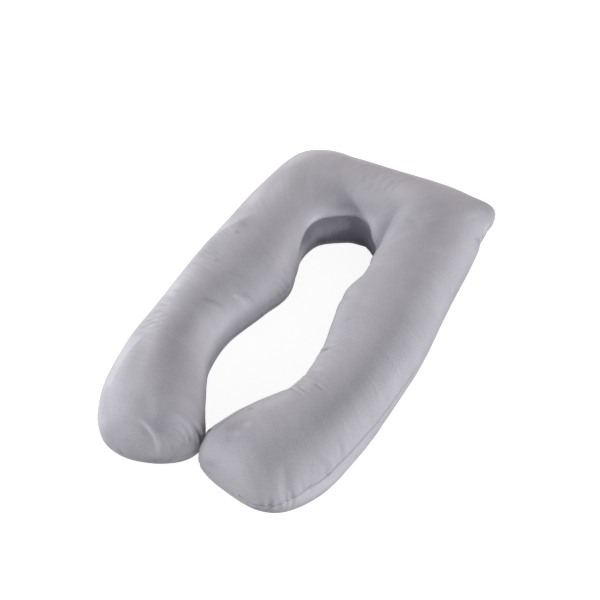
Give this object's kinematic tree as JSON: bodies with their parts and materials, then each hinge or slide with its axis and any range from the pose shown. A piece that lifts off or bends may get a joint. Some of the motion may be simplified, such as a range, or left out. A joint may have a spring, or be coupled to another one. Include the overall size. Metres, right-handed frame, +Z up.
{
  "type": "body pillow",
  "caption": "U-shaped filled body pillow in grey velvet, lying flat, with a straight head, two legs that curl in at the feet, and a long gap for neck, waist and belly.",
  "frame": {"origin": "under the middle of the pillow's box, on the surface it lies on", "axes": "+Y from the feet to the head, +X to the right leg as seen from the feet, +Z up"},
  "size_m": [0.7152, 1.313, 0.1813],
  "materials": {
    "velvet": "short-pile grey velvet, matte with a pale sheen where it turns away"
  },
  "bodies": {
    "root": {"pillow": "velvet"}
  },
  "joints": []
}
